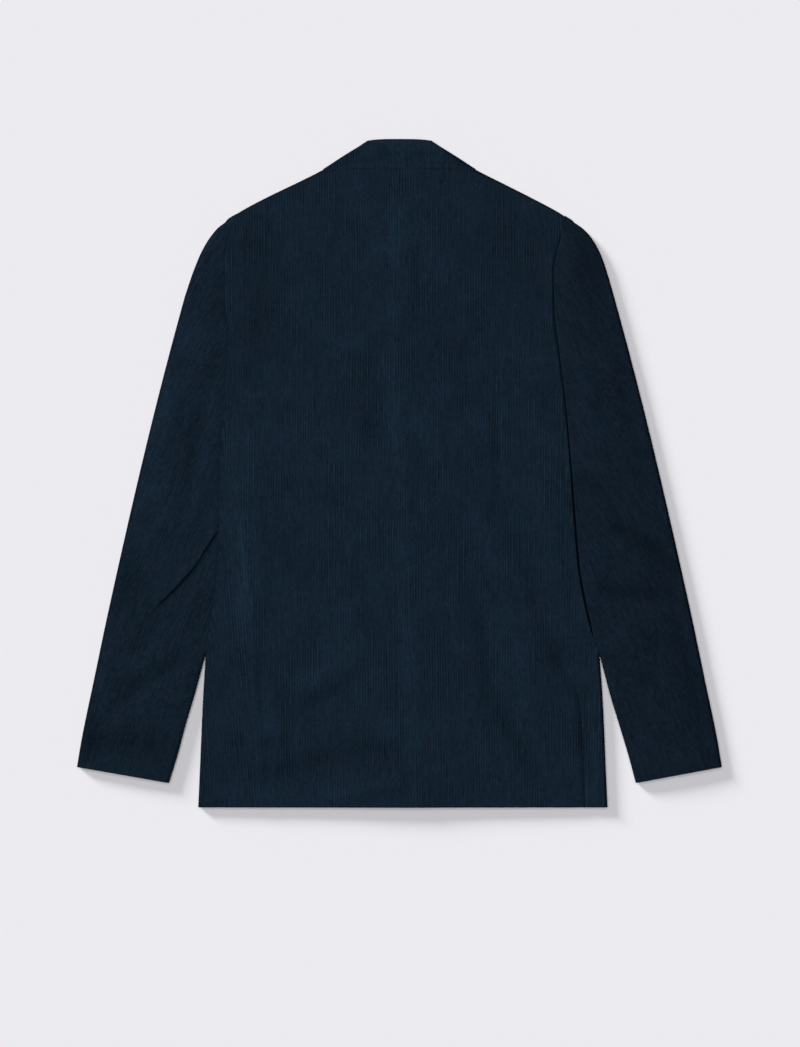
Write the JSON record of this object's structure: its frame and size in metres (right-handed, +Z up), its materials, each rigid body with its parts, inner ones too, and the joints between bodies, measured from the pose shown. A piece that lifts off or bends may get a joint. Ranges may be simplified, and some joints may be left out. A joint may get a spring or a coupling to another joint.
{
  "type": "blazer",
  "caption": "Fine-ribbed corduroy blazer laid flat on its front, back and collar up, sleeves straight down beside the body.",
  "frame": {"origin": "centre of the footprint on the surface that the garment lies on", "axes": "+X is the wearer's right, +Y points from the hem to the collar, +Z is up off the surface"},
  "size_m": [0.7294, 0.7554, 0.009],
  "materials": {
    "corduroy": "dark navy mixed-wale cotton corduroy, matt pile with a faint sheen",
    "button_horn": "dark satin resin button"
  },
  "bodies": {
    "root": {"back_left": "corduroy", "side_left": "corduroy", "front_left": "corduroy", "lapel_left": "corduroy", "sleeve_upper_left": "corduroy", "sleeve_under_left": "corduroy", "back_right": "corduroy", "side_right": "corduroy", "front_right": "corduroy", "lapel_right": "corduroy", "sleeve_upper_right": "corduroy", "sleeve_under_right": "corduroy", "collar_fall": "corduroy", "collar_stand": "corduroy", "button_upper": "button_horn", "button_lower": "button_horn"}
  },
  "joints": []
}
